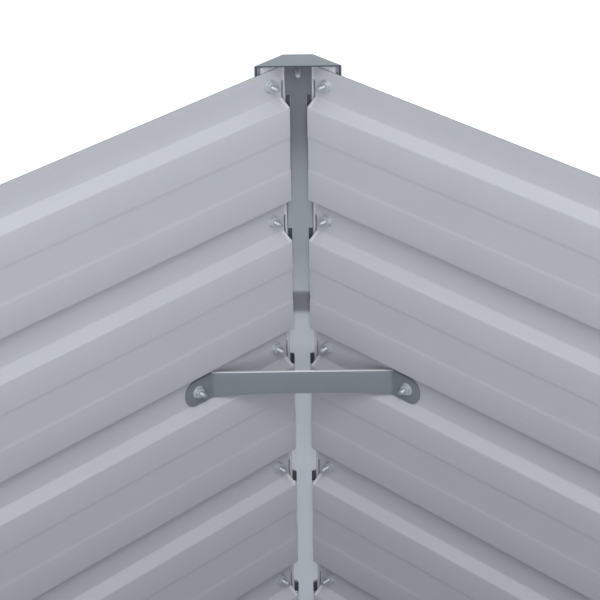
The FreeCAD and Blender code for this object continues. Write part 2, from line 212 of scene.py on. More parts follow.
def folded_sheet(section: list[Point], low: float, high: float) -> bmesh.types.BMesh:
    """Draw a folded sheet with no thickness yet.

    Args:
        section: The corners of the section, in the XY plane.
        low: Where the sheet starts on Z.
        high: Where it ends.

    Returns:
        A bmesh whose faces run up from the section.
    """
    sheet = bmesh.new()
    corners = [sheet.verts.new((x, y, low)) for x, y in section]
    edges = [sheet.edges.new(pair) for pair in zip(corners, corners[1:])]
    made = bmesh.ops.extrude_edge_only(sheet, edges=edges)["geom"]
    rising = [part for part in made if isinstance(part, bmesh.types.BMVert)]
    bmesh.ops.translate(sheet, verts=rising, vec=(0, 0, high - low))
    return sheet


def round_edges(
    mesh: bmesh.types.BMesh,
    chosen: Callable[[bmesh.types.BMEdge], bool],
    radius: float,
    segments: int = 3,
) -> None:
    """Round the edges that a test picks.

    Args:
        mesh: The mesh to change.
        chosen: Says whether an edge is rounded.
        radius: How far the rounding starts from the edge.
        segments: Steps in the rounding.
    """
    edges = [edge for edge in mesh.edges if chosen(edge)]
    bmesh.ops.bevel(
        mesh, geom=edges, offset=radius, offset_type="OFFSET", segments=segments,
        profile=0.5, affect="EDGES", clamp_overlap=True, material=-1,
    )


def is_bend(least: float = 5) -> Callable[[bmesh.types.BMEdge], bool]:
    """A test for edges where two faces meet at more than this angle, in degrees."""
    return lambda edge: len(edge.link_faces) == 2 and math.degrees(edge.calc_face_angle(0)) > least


def slice_across(mesh: bmesh.types.BMesh, axis: Vector, places: Iterable[float]) -> None:
    """Cut the mesh's faces along planes, and keep both sides.

    Args:
        mesh: The mesh to cut.
        axis: The planes' normal.
        places: The planes' distances from the origin.
    """
    for place in places:
        bmesh.ops.bisect_plane(
            mesh, geom=mesh.verts[:] + mesh.edges[:] + mesh.faces[:], dist=CUT_DISTANCE,
            plane_co=axis * place, plane_no=axis,
        )


def both_ways(*places: float) -> list[float]:
    """The places on both sides of the middle."""
    return [sign * place for sign in (-1, 1) for place in places]


def lowered(mesh: bmesh.types.BMesh, edges: list[bmesh.types.BMEdge], fall: float) -> None:
    """Hang a strip of sheet from some edges.

    Args:
        mesh: The mesh to change.
        edges: The edges that the strip starts from.
        fall: How far down it hangs.
    """
    made = bmesh.ops.extrude_edge_only(mesh, edges=edges)["geom"]
    low = [part for part in made if isinstance(part, bmesh.types.BMVert)]
    bmesh.ops.translate(mesh, verts=low, vec=(0, 0, -fall))


def remove_faces(mesh: bmesh.types.BMesh, unwanted: Callable[[Vector], bool]) -> None:
    """Delete the faces whose middle a test picks.

    Args:
        mesh: The mesh to change.
        unwanted: Says whether a face with this middle goes.
    """
    faces = [face for face in mesh.faces if unwanted(face.calc_center_median())]
    bmesh.ops.delete(mesh, geom=faces, context="FACES")


def thicken(mesh: bmesh.types.BMesh, thickness: float, towards: Vector, rim: float = 0) -> None:
    """Give a sheet its thickness, and break its cut edges a little.

    Args:
        mesh: The sheet.
        thickness: Its gauge.
        towards: The side on which the second skin lies.
        rim: Radius of the cut edges.
    """
    bmesh.ops.recalc_face_normals(mesh, faces=mesh.faces[:])
    if sum(face.normal.dot(towards) * face.calc_area() for face in mesh.faces) > 0:
        bmesh.ops.reverse_faces(mesh, faces=mesh.faces[:])
    bmesh.ops.solidify(mesh, geom=mesh.faces[:], thickness=thickness)
    if rim:
        round_edges(mesh, is_bend(60), rim, 1)


def cylinder(radius: float, low: float, high: float, segments: int = 20) -> bmesh.types.BMesh:
    """A closed cylinder on the Z axis.

    Args:
        radius: Its radius.
        low: Its lower end.
        high: Its upper end.
        segments: Sides round it.

    Returns:
        A bmesh.
    """
    mesh = bmesh.new()
    bmesh.ops.create_cone(
        mesh, cap_ends=True, cap_tris=False, segments=segments,
        radius1=radius, radius2=radius, depth=high - low,
        matrix=Matrix.Translation((0, 0, (low + high) / 2)),
    )
    return mesh


def tops(mesh: bmesh.types.BMesh) -> list[bmesh.types.BMFace]:
    """The faces that look straight up."""
    return [face for face in mesh.faces if face.normal.z > 1 - SLACK]


def add_to(mesh: bmesh.types.BMesh, part: bmesh.types.BMesh, place: Matrix | None = None) -> None:
    """Add one mesh to another, and free it.

    Args:
        mesh: The mesh that grows.
        part: The mesh that is added.
        place: Where the part goes.
    """
    if place is not None:
        bmesh.ops.transform(part, matrix=place, verts=part.verts[:])
    carrier = bpy.data.meshes.new("part")
    part.to_mesh(carrier)
    part.free()
    mesh.from_mesh(carrier)
    bpy.data.meshes.remove(carrier)


def finish_piece(
    name: str,
    mesh: bmesh.types.BMesh,
    place: Matrix,
    materials: list[bpy.types.Material],
    sharp: float = 35,
) -> bpy.types.Object:
    """Turn a mesh into the object that stands for a CAD node.

    Args:
        name: The CAD node's name.
        mesh: The mesh, in millimetres and in its own axes.
        place: From those axes to the bed's, in millimetres.
        materials: The piece's materials.
        sharp: Edges above this angle in degrees stay sharp.

    Returns:
        The object, at the origin.
    """
    bmesh.ops.transform(mesh, matrix=Matrix.Scale(MM, 4) @ place, verts=mesh.verts[:])
    data = bpy.data.meshes.new(name)
    mesh.to_mesh(data)
    mesh.free()
    data.shade_smooth()
    data.set_sharp_from_angle(angle=math.radians(sharp))
    for material in materials:
        data.materials.append(material)
    piece = bpy.data.objects.new(f"{name}_look", data)
    bpy.context.scene.collection.objects.link(piece)
    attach(piece, "root")
    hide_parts(name)
    LOG.info("%s: %d faces", name, len(data.polygons))
    return piece


# ---- Finishes ----


def linear(hex_colour: str) -> tuple[float, float, float, float]:
    """Turn an sRGB hex colour into linear values.

    Args:
        hex_colour: Six hex digits after a hash sign.

    Returns:
        Red, green, blue and an alpha of 1.
    """
    values = []
    for start in (1, 3, 5):
        value = int(hex_colour[start:start + 2], 16) / 255
        values.append(value / 12.92 if value <= 0.04045 else ((value + 0.055) / 1.055) ** 2.4)
    return (*values, 1.0)


def add_node(
    tree: bpy.types.NodeTree,
    kind: str,
    settings: dict[str, object] | None = None,
    inputs: dict[str | int, object] | None = None,
) -> bpy.types.Node:
    """Add a node, set it up, and link or set its inputs.

    Args:
        tree: The node tree.
        kind: The node's type name.
        settings: Values of the node's own properties.
        inputs: Sockets by name or number, each with an output socket to link or a value to set.

    Returns:
        The new node.
    """
    node = tree.nodes.new(kind)
    for name, value in (settings or {}).items():
        setattr(node, name, value)
    for name, value in (inputs or {}).items():
        if isinstance(value, bpy.types.NodeSocket):
            tree.links.new(value, node.inputs[name])
        else:
            node.inputs[name].default_value = value
    return node


def new_material(name: str) -> tuple[bpy.types.Material, bpy.types.NodeTree, bpy.types.Node]:
    """A material with an empty tree and an output node.

    Args:
        name: The material's name.

    Returns:
        The material, its tree and its output.
    """
    material = bpy.data.materials.new(name)
    material.use_nodes = True
    material.node_tree.nodes.clear()
    output = add_node(material.node_tree, "ShaderNodeOutputMaterial")
    return material, material.node_tree, output


@dataclass(frozen=True)
class RolledSheetFinish:
    """Sheet steel from a rolling mill: faint streaks along the roll, soft mottling, satin gloss."""

    name: str
    colour: str
    deep_colour: str
    metallic: float
    roughness: float
    roughness_spread: float
    streak_mm: float = 1.6
    streak_length_mm: float = 60
    mottle_mm: float = 45
    relief_mm: float = 0.004
    grain: Grain = Grain.LEVEL
    mottle_share: float = 0.45
    noise_low: float = 0.3
    noise_high: float = 0.7

    def build(self) -> bpy.types.Material:
        """Build the material.

        Returns:
            The new material.
        """
        material, tree, output = new_material(self.name)
        place = add_node(tree, "ShaderNodeTexCoord").outputs["Object"]
        across = 1 / (self.streak_mm * MM)
        along = 1 / (self.streak_length_mm * MM)
        level = self.grain is Grain.LEVEL
        scale = (along, along, across) if level else (across, across, along)
        stretched = add_node(tree, "ShaderNodeMapping", inputs={"Vector": place, "Scale": scale})
        streaks = add_node(tree, "ShaderNodeTexNoise", inputs={
            "Vector": stretched.outputs[0], "Scale": 1.0, "Detail": 3.0, "Roughness": 0.55})
        mottle = add_node(tree, "ShaderNodeTexNoise", inputs={
            "Vector": place, "Scale": 1 / (self.mottle_mm * MM), "Detail": 4.0, "Roughness": 0.5})
        blend = add_node(tree, "ShaderNodeMix", {"data_type": "FLOAT"}, {
            0: self.mottle_share, 2: streaks.outputs["Fac"], 3: mottle.outputs["Fac"]})
        tone = add_node(tree, "ShaderNodeMapRange", inputs={
            "Value": blend.outputs[0], "From Min": self.noise_low, "From Max": self.noise_high})
        colour = add_node(tree, "ShaderNodeMix", {"data_type": "RGBA"}, {
            0: tone.outputs[0], 6: linear(self.deep_colour), 7: linear(self.colour)})
        gloss = add_node(tree, "ShaderNodeMapRange", inputs={
            "Value": blend.outputs[0], "From Min": self.noise_low, "From Max": self.noise_high,
            "To Min": self.roughness + self.roughness_spread,
            "To Max": self.roughness - self.roughness_spread})
        bump = add_node(tree, "ShaderNodeBump", inputs={
            "Height": blend.outputs[0], "Distance": self.relief_mm * MM, "Strength": 1.0})
        shader = add_node(tree, "ShaderNodeBsdfPrincipled", inputs={
            "Base Color": self.shade(tree, place, colour.outputs[2]), "Metallic": self.metallic,
            "Roughness": gloss.outputs[0], "Normal": bump.outputs[0]})
        tree.links.new(shader.outputs[0], output.inputs["Surface"])
        return material

    def shade(
        self, tree: bpy.types.NodeTree, place: bpy.types.NodeSocket, colour: bpy.types.NodeSocket
    ) -> bpy.types.NodeSocket:
        """Give the sheet's colour to the shader as it is.

        Args:
            tree: The material's tree.
            place: The coordinates on the object.
            colour: The streaked colour.

        Returns:
            The colour's socket.
        """
        return colour


@dataclass(frozen=True)
class PaintedReflectionFinish(RolledSheetFinish):
    """Rolled sheet with a painted reflection: its colour is painted darker towards the top, where
    it would mirror darker surroundings.
    """

    painted_reflection_colour: str = "#8C9298"
    reflection_full_above_mm: float = 610
    reflection_none_below_mm: float = 550

    def shade(
        self, tree: bpy.types.NodeTree, place: bpy.types.NodeSocket, colour: bpy.types.NodeSocket
    ) -> bpy.types.NodeSocket:
        """Blend the colour into the painted reflection's darker colour towards the top.

        Args:
            tree: The material's tree.
            place: The coordinates on the object.
            colour: The streaked colour.

        Returns:
            The blended colour's socket.
        """
        # Painted reflection: the colour turns darker between these heights.
        parts = add_node(tree, "ShaderNodeSeparateXYZ", inputs={0: place})
        reflection_share = add_node(tree, "ShaderNodeMapRange", inputs={
            "Value": parts.outputs["Z"], "From Min": self.reflection_none_below_mm * MM,
            "From Max": self.reflection_full_above_mm * MM})
        blend = add_node(tree, "ShaderNodeMix", {"data_type": "RGBA"}, {
            0: reflection_share.outputs[0], 6: colour, 7: linear(self.painted_reflection_colour)})
        return blend.outputs[2]


@dataclass(frozen=True)
class FloorFinish:
    """Matt pale studio floor; seen directly or in a gloss it lifts to the white background."""

    name: str = "studio_floor"
    colour: str = "#A3A8AE"
    lift: float = 0.75

    def build(self) -> bpy.types.Material:
        """Build the material.

        Returns:
            The new material.
        """
        material, tree, output = new_material(self.name)
        matt = add_node(tree, "ShaderNodeBsdfDiffuse", inputs={"Color": linear(self.colour)})
        glow = add_node(tree, "ShaderNodeEmission", inputs={"Strength": self.lift})
        lifted = add_node(tree, "ShaderNodeAddShader", inputs={
            0: matt.outputs[0], 1: glow.outputs[0]})
        mix = add_node(tree, "ShaderNodeMixShader", inputs={
            0: seen_directly(tree), 1: matt.outputs[0], 2: lifted.outputs[0]})
        tree.links.new(mix.outputs[0], output.inputs["Surface"])
        return material


def seen_directly(tree: bpy.types.NodeTree) -> bpy.types.NodeSocket:
    """A socket that is 1 for camera, glossy and transmission rays, and 0 for other rays.

    Args:
        tree: The tree to add the nodes to.

    Returns:
        The socket.
    """
    path = add_node(tree, "ShaderNodeLightPath")
    either = add_node(tree, "ShaderNodeMath", {"operation": "MAXIMUM"}, {
        0: path.outputs["Is Camera Ray"], 1: path.outputs["Is Glossy Ray"]})
    any_of = add_node(tree, "ShaderNodeMath", {"operation": "MAXIMUM"}, {
        0: either.outputs[0], 1: path.outputs["Is Transmission Ray"]})
    return any_of.outputs[0]


# Galvanised sheet, roller-coated light grey: satin, with faint streaks along the roll.
PLANK_STEEL = RolledSheetFinish(
    "coated_galvanised_sheet", colour="#A3A5AB", deep_colour="#9FA1A7",
    metallic=0.0, roughness=0.48, roughness_spread=0.05)

# Zinc-coated strip of posts and columns, smooth and glossy enough to mirror the brace, with a
# painted reflection that darkens it towards the top.
POST_STEEL = PaintedReflectionFinish(
    "zinc_strip_painted_reflection", colour="#A9AEB3", deep_colour="#A3A8AD",
    metallic=0.65, roughness=0.1, roughness_spread=0.02, relief_mm=0.001,
    grain=Grain.UPRIGHT)

# Zinc-coated cap, dulled by the press; the same colour is the painted shade on the planks' upper
# edges.
CAP_STEEL = RolledSheetFinish(
    "pressed_zinc_sheet", colour="#7B858B", deep_colour="#757F85",
    metallic=0.3, roughness=0.4, roughness_spread=0.04)

# Flat bar of the braces, passivated dark: an even, satin mid grey.
BRACE_STEEL = RolledSheetFinish(
    "passivated_flat_bar", colour="#6C7279", deep_colour="#676D74",
    metallic=0.15, roughness=0.42, roughness_spread=0.04)

# Light steel colour of the planks' sheared ends, and painted light elsewhere: a painted highlight
# at the ends of the plank shoulders and on the braces' upper edges, and a painted reflection on the
# posts' flanges.
EDGE_AND_PAINTED_LIGHT = RolledSheetFinish(
    "sheared_edge_and_painted_light", colour="#C1C3C7", deep_colour="#B9BBBF",
    metallic=0.2, roughness=0.4, roughness_spread=0.05)

# Painted shade: near black on the unlit back of the column, seen only through the post's windows,
# and on the cap's underside.
PAINTED_SHADE_SHEET = RolledSheetFinish(
    "painted_shade_dark_sheet", colour="#2C333B", deep_colour="#262D35",
    metallic=0.0, roughness=0.7, roughness_spread=0.05)

# Zinc plating on the nuts: light and satin, so that they barely stand out from the planks.
NUT_ZINC = RolledSheetFinish(
    "zinc_plating", colour="#ACB1B7", deep_colour="#A0A6AC",
    metallic=0.35, roughness=0.4, roughness_spread=0.05, mottle_mm=6)

# Zinc plating on bolts and screws, dulled where the thread was rolled.
BOLT_ZINC = RolledSheetFinish(
    "dull_zinc_plating", colour="#959AA1", deep_colour="#8A8F96",
    metallic=0.35, roughness=0.41, roughness_spread=0.05, mottle_mm=6)


# ---- Pieces ----


@dataclass
class Plank:
    """One plank of a wall: band, sloped shoulder, grooved face and hooked lip."""

    wall: Wall
    row: int
    setback: float = 16.6
    rib_setback: float = 17.2
    shoulder_height: float = 5.6
    rib_depth: float = 8.5
    face_height: float = 75
    groove_start: float = 23
    groove_height: float = 28
    groove_depth: float = 0.4
    groove_slope: float = 2
    hook_fall: float = 2
    corner_clear: float = 39
    cut_height: float = 1
    highlight_width: float = 2.6
    edge_depth: float = 0.5
    bend: float = 1.2
    rim: float = 0.2

    @property
    def name(self) -> str:
        """The plank's CAD node."""
        return f"plank_{self.wall.name.lower()}_{self.row + 1}"

    @property
    def half(self) -> float:
        """Half the wall's length between the corners of its bands."""
        return SIZES.half_wall(self.wall)

    @property
    def rib_end(self) -> float:
        """Where the shoulder and the face end, from the middle of the wall."""
        return self.half - self.rib_setback

    @property
    def lip_end(self) -> float:
        """Where the hook and the lip end, from the middle of the wall."""
        return self.half - self.corner_clear

    @property
    def highlight_start(self) -> float:
        """Where the painted highlight on the shoulders starts, from the middle of the wall."""
        return self.rib_end - self.highlight_width

    def section(self) -> list[Point]:
        """Draw the section.

        Returns:
            Its corners, as inward and up from the fold.
        """
        groove = self.rib_depth - self.groove_depth
        groove_end = self.groove_start + self.groove_height
        return [
            (0, SIZES.crest_height),
            (0, self.shoulder_height),
            (self.rib_depth, 0),
            (self.rib_depth, -self.groove_start),
            (groove, -self.groove_start - self.groove_slope),
            (groove, -groove_end + self.groove_slope),
            (self.rib_depth, -groove_end),
            (self.rib_depth, -self.face_height),
            (-SIZES.post_skin, -self.face_height - self.hook_fall),
            (-SIZES.post_skin, -SIZES.lip_drop),
        ]

    def is_cut_away(self, middle: Vector) -> bool:
        """Say whether a piece of the folded sheet is sheared off its end.

        Args:
            middle: The middle of the piece, as along, inward and up from the fold.

        Returns:
            Whether it goes.
        """
        along = abs(middle.x)
        beyond_rib = along > self.rib_end and middle.z < SIZES.bolt_height
        hooked = middle.y < self.rib_depth - self.cut_height
        low = middle.z < self.cut_height - self.face_height
        return beyond_rib or (along > self.lip_end and hooked and low)

    def dress(self, mesh: bmesh.types.BMesh) -> None:
        """Tell the sheared ends and the painted highlight near them (1) and the painted shade on
        the upper edge (2) from the sheet (0).

        Args:
            mesh: The plank's mesh.
        """
        for face in mesh.faces:
            middle = face.calc_center_median()
            upward = face.normal.z > FACING
            # Painted shade on the upper edge (2); the sheared end faces keep a light steel colour,
            # and the upward faces near the ends carry a painted highlight (1).
            if upward and middle.z > SIZES.crest_height - self.edge_depth:
                face.material_index = 2
            elif abs(face.normal.x) > FACING or (upward and abs(middle.x) > self.highlight_start):
                face.material_index = 1

    def build(
        self, steel: bpy.types.Material, edge: bpy.types.Material, rim: bpy.types.Material
    ) -> bpy.types.Object:
        """Fold the plank, cut its ends and give it its sheet.

        Args:
            steel: The plank's material.
            edge: The material of its sheared ends, and of the painted highlight on its shoulders
                near the ends.
            rim: The material of its upper edge, a painted shade.

        Returns:
            The finished piece.
        """
        end = self.half - self.setback
        mesh = folded_sheet(self.section(), -end, end)
        round_edges(mesh, is_bend(), self.bend)
        upright = Matrix(((0, 0, 1, 0), (1, 0, 0, 0), (0, 1, 0, 0), (0, 0, 0, 1)))
        bmesh.ops.transform(mesh, matrix=upright, verts=mesh.verts[:])
        ends = both_ways(self.rib_end, self.lip_end, self.highlight_start)
        slice_across(mesh, Vector((1, 0, 0)), ends)
        levels = (SIZES.bolt_height, self.cut_height - self.face_height)
        slice_across(mesh, Vector((0, 0, 1)), levels)
        remove_faces(mesh, self.is_cut_away)
        thicken(mesh, SIZES.plank_sheet, Vector((0, -1, 0)), self.rim)
        self.dress(mesh)
        place = SIZES.wall_place(self.wall) @ Matrix.Translation((0, 0, SIZES.fold(self.row)))
        return finish_piece(self.name, mesh, place, [steel, edge, rim])


@dataclass
class CornerPiece:
    """A piece that stands at a corner, in the corner's own axes."""

    corner: Corner
    kind: str = ""

    @property
    def name(self) -> str:
        """The piece's CAD node."""
        return f"{self.kind}_{self.corner.name.lower()}"

    def finish(
        self, mesh: bmesh.types.BMesh, materials: list[bpy.types.Material], slot: Slot
    ) -> bpy.types.Object:
        """Place the piece at its corner."""
        return finish_piece(self.name, mesh, SIZES.corner_place(self.corner), materials)


@dataclass
class Column(CornerPiece):
    """The outer column: two flanges and a chamfer on the outside of the walls."""

    kind: str = "column"
    flange_length: float = 38.5
    chamfer_width: float = 20
    painted_shade_margin: float = 3
    painted_shade_start: float = 1
    bend: float = 1.6
    rim: float = 0.2

    def build(self, steel: bpy.types.Material, back: bpy.types.Material) -> bpy.types.Object:
        """Fold the column.

        Args:
            steel: Its outer finish.
            back: The painted shade on the side that faces the post.

        Returns:
            The finished piece.
        """
        half = self.chamfer_width / 2
        depth = half - ROOT_2 * SIZES.column_skin
        flange = [from_wall(self.flange_length, -SIZES.column_skin), (half, depth)]
        mesh = folded_sheet(flange + mirrored(flange), 0, SIZES.post_height)
        round_edges(mesh, is_bend(), self.bend)
        thicken(mesh, SIZES.column_sheet, Vector((0, -1, 0)), self.rim)
        # Painted shade: the inner side of the chamfer, and a margin either side of it, gets the
        # near-black shade colour.
        for face in mesh.faces:
            middle = face.calc_center_median()
            central = abs(middle.x) < half + self.painted_shade_margin and middle.z > self.painted_shade_start
            inner = middle.y > depth - SIZES.column_sheet / 2 and face.normal.y > FACING
            if central and inner:
                face.material_index = 1
        return self.finish(mesh, [steel, back], Slot.CORNER)


@dataclass
class Post(CornerPiece):
    """The inner post: flanges, and a chamfer with windows and slots beside each rib."""

    kind: str = "post"
    flange_length: float = 36
    width: float = 19.4
    window_reach: float = 9.2
    window_width: float = 3.2
    window_rise: float = 5.3
    window_fall: float = 4
    slot_start: float = 14.2
    slot_width: float = 2.2
    bend: float = 0.9
    rim: float = 0.15

    @property
    def window_sides(self) -> Point:
        """Both sides of a window, from the middle of the post."""
        return self.window_reach - self.window_width, self.window_reach

    @property
    def slot_sides(self) -> Point:
        """Both sides of a slot, from the middle of the post."""
        ends = (self.slot_start, self.slot_start + self.slot_width)
        return tuple(from_wall(end, -SIZES.post_skin)[0] for end in ends)

    def is_open(self, middle: Vector) -> bool:
        """Say whether a piece of the sheet is punched out.

        Args:
            middle: The middle of the piece.

        Returns:
            Whether it lies in a window or a slot.
        """
        if middle.z > SIZES.fold(SIZES.rows - 1) + 2 * SIZES.bolt_height:
            return False
        rise = (middle.z - SIZES.fold(0) + self.window_fall) % SIZES.row_pitch - self.window_fall
        inner, outer = self.window_sides
        low, high = self.slot_sides
        in_window = inner < abs(middle.x) < outer and rise < self.window_rise
        return in_window or (low < abs(middle.x) < high and rise < SIZES.bolt_height)

    def build(self, steel: bpy.types.Material, dull: bpy.types.Material) -> bpy.types.Object:
        """Fold the post, and punch its windows and slots.

        Args:
            steel: The material of its front.
            dull: The material of its flanges, painted light in place of their bright reflection.

        Returns:
            The finished piece.
        """
        half = self.width / 2
        depth = half - ROOT_2 * SIZES.post_skin
        flange = [from_wall(self.flange_length, -SIZES.post_skin), (half, depth)]
        mesh = folded_sheet(flange + mirrored(flange), 0, SIZES.post_height)
        round_edges(mesh, is_bend(), self.bend)
        for rise in (-self.window_fall, self.window_rise, SIZES.bolt_height):
            levels = [SIZES.fold(row) + rise for row in range(SIZES.rows)]
            slice_across(mesh, Vector((0, 0, 1)), levels)
        slice_across(mesh, Vector((1, 0, 0)), both_ways(*self.window_sides, *self.slot_sides))
        remove_faces(mesh, self.is_open)
        thicken(mesh, SIZES.post_sheet, Vector((0, -1, 0)), self.rim)
        # Painted light: the flanges' inner faces get the light edge colour, in place of the bright
        # reflection they would show.
        for face in mesh.faces:
            if abs(face.normal.x) > FACING and face.normal.y > FACING / 2:
                face.material_index = 1
        return self.finish(mesh, [steel, dull], Slot.CORNER)


@dataclass
class Cap(CornerPiece):
    """The cap: a pressed top with side skirts and a longer tongue over the column's chamfer."""

    kind: str = "cap"
    reach: float = 39.5
    skirt_height: float = 10.2
    tongue_height: float = 21
    tongue_margin: float = 1.5
    column_chamfer: float = 20
    inside_point: float = 30
    bend: float = 1.4
    rim: float = 0.2

    @property
    def skin(self) -> float:
        """How far outside a band's inner side the skirts' outer faces are."""
        return SIZES.outside + SIZES.play + SIZES.cap_sheet

    @property
    def depth(self) -> float:
        """How deep into the corner the front of the tongue is."""
        column_depth = self.column_chamfer / 2 - ROOT_2 * SIZES.column_skin
        return column_depth - SIZES.column_sheet - SIZES.play - SIZES.cap_sheet

    def fold_sheet(self) -> bmesh.types.BMesh:
        """Fold the skirts and the tongue down from the flat top.

        Returns:
            A bmesh with no thickness yet.
        """
        side = [
            from_wall(self.reach, SIZES.cap_sheet - self.skin),
            from_wall(self.reach, -self.skin),
            (self.depth + ROOT_2 * self.skin, self.depth),
        ]
        mesh = bmesh.new()
        corners = [mesh.verts.new((x, y, SIZES.cap_top)) for x, y in side + mirrored(side)]
        mesh.faces.new(corners)
        skirts = [edge for edge in mesh.edges
                  if {corners.index(vert) for vert in edge.verts} in ({1, 2}, {2, 3}, {3, 4})]
        lowered(mesh, skirts, self.skirt_height)
        half_tongue = self.column_chamfer / 2 - self.tongue_margin
        slice_across(mesh, Vector((1, 0, 0)), both_ways(half_tongue))
        foot = [edge for edge in mesh.edges if len(edge.link_faces) == 1
                and all(vert.co.z < SIZES.cap_top - SLACK and abs(vert.co.x) < half_tongue + SLACK
                        and vert.co.y < self.depth + SLACK for vert in edge.verts)]
        lowered(mesh, foot, self.tongue_height - self.skirt_height)
        return mesh

    def build(self, steel: bpy.types.Material, inside: bpy.types.Material) -> bpy.types.Object:
        """Press the cap.

        Args:
            steel: The cap's material.
            inside: The material of its underside, a painted shade.

        Returns:
            The finished piece.
        """
        mesh = self.fold_sheet()
        bmesh.ops.recalc_face_normals(mesh, faces=mesh.faces[:])
        round_edges(mesh, is_bend(20), self.bend)
        centre = Vector((0, self.inside_point, SIZES.cap_top - self.inside_point))
        outward = sum(face.normal.dot(face.calc_center_median() - centre) for face in mesh.faces)
        if outward < 0:
            bmesh.ops.reverse_faces(mesh, faces=mesh.faces[:])
        outer = set(mesh.faces)
        bmesh.ops.solidify(mesh, geom=mesh.faces[:], thickness=SIZES.cap_sheet)
        # Painted shade: the underside faces get the near-black shade colour.
        for face in mesh.faces:
            middle = face.calc_center_median()
            if face not in outer and face.normal.dot(centre - middle) > 0:
                face.material_index = 1
        round_edges(mesh, is_bend(60), self.rim, 1)
        return self.finish(mesh, [steel, inside], Slot.CORNER)


@dataclass
class Brace(CornerPiece):
    """The brace: a flat bar across the corner with bent, rounded ends."""

    kind: str = "brace"
    height: float = 19
    thickness: float = 2
    bend_setback: float = 94
    margin: float = 11
    rounding: float = 9.6
    flare: float = 2
    flare_length: float = 32
    bend: float = 2
    rim: float = 0.3
    highlight_lean: float = 0.3

    @property
    def level(self) -> float:
        """The height of the bar's middle."""
        return SIZES.fold(SIZES.brace_row) + SIZES.brace_bolt_height

    @property
    def reach(self) -> float:
        """Where the bar ends on the walls, from the corner of the bands."""
        return SIZES.brace_hole + self.margin

    def at_end(self, edge: bmesh.types.BMEdge) -> bool:
        """Say whether an edge is a corner of the bar's ends.

        Args:
            edge: An edge of the bar.

        Returns:
            Whether it runs through the thickness at an end, above or below.
        """
        middle = (edge.verts[0].co + edge.verts[1].co) / 2
        through = edge.calc_length() < self.thickness + SLACK
        last = abs(middle.x) + middle.y > self.reach * ROOT_2 - SLACK
        return through and last and abs(middle.z - self.level) > self.height / 3

    def build(self, steel: bpy.types.Material, edge: bpy.types.Material) -> bpy.types.Object:
        """Bend the bar and round its ends.

        Args:
            steel: The bar's material.
            edge: The material of its upper edge, a painted highlight.

        Returns:
            The finished piece.
        """
        tab = [from_wall(self.reach, SIZES.play), from_wall(self.bend_setback, SIZES.play)]
        low, high = self.level - self.height / 2, self.level + self.height / 2
        mesh = folded_sheet(tab + mirrored(tab), low, high)
        straight = tab[1][0] - self.flare_length
        slice_across(mesh, Vector((1, 0, 0)), both_ways(straight))
        for vert in mesh.verts:
            if vert.co.z < self.level and abs(vert.co.x) > straight + SLACK:
                vert.co.z -= self.flare
        round_edges(mesh, is_bend(), self.bend, 4)
        thicken(mesh, self.thickness, Vector((0, 1, 0)))
        round_edges(mesh, self.at_end, self.rounding, 6)
        round_edges(mesh, is_bend(50), self.rim, 2)
        # Painted highlight: the bar's upward faces, but not the tabs', get the light edge colour.
        for face in mesh.faces:
            upward = face.normal.z > self.highlight_lean
            if upward and abs(face.calc_center_median().x) < tab[1][0]:
                face.material_index = 1
        return self.finish(mesh, [steel, edge], Slot.CORNER)


@dataclass(frozen=True)
class ThreadedRod:
    """A length of screw thread with a chamfered tip, drawn as a true helix.

    The pitch is drawn at twice the real one, because the real thread is finer than a pixel.
    """

    size: float
    pitch: float
    start: float
    end: float
    depth: float = 0.5
    sides: int = 12
    tip_turns: float = 1.4
    tip_start: float = 0.94
    tip_end: float = 0.7

    def build(self) -> bmesh.types.BMesh:
        """Wind the thread on the Z axis.

        Returns:
            A bmesh from start to end, with a cone at the end.
        """
        crest = self.size / 2
        root = crest - self.depth
        turns = max(int((self.end - self.start) / self.pitch) - 1, 1)
        mesh = bmesh.new()
        corners = []
        for turn in range(turns):
            low = self.start + turn * self.pitch
            corners.append(mesh.verts.new((root, 0, low)))
            corners.append(mesh.verts.new((crest, 0, low + self.pitch / 2)))
        corners.append(mesh.verts.new((root, 0, self.start + turns * self.pitch)))
        edges = [mesh.edges.new(pair) for pair in zip(corners, corners[1:])]
        bmesh.ops.spin(
            mesh, geom=corners + edges, cent=(0, 0, 0), axis=(0, 0, 1),
            dvec=(0, 0, self.pitch / self.sides), angle=math.tau, steps=self.sides,
            use_merge=False, use_duplicate=False,
        )
        bmesh.ops.remove_doubles(mesh, verts=mesh.verts[:], dist=WELD_DISTANCE)
        bmesh.ops.recalc_face_normals(mesh, faces=mesh.faces[:])
        tip = bmesh.new()
        tip_length = self.pitch * self.tip_turns
        bmesh.ops.create_cone(
            tip, cap_ends=True, segments=self.sides, radius1=crest * self.tip_start,
            radius2=crest * self.tip_end, depth=tip_length,
            matrix=Matrix.Translation((0, 0, self.end - tip_length / 2)),
        )
        add_to(mesh, tip)
        return mesh


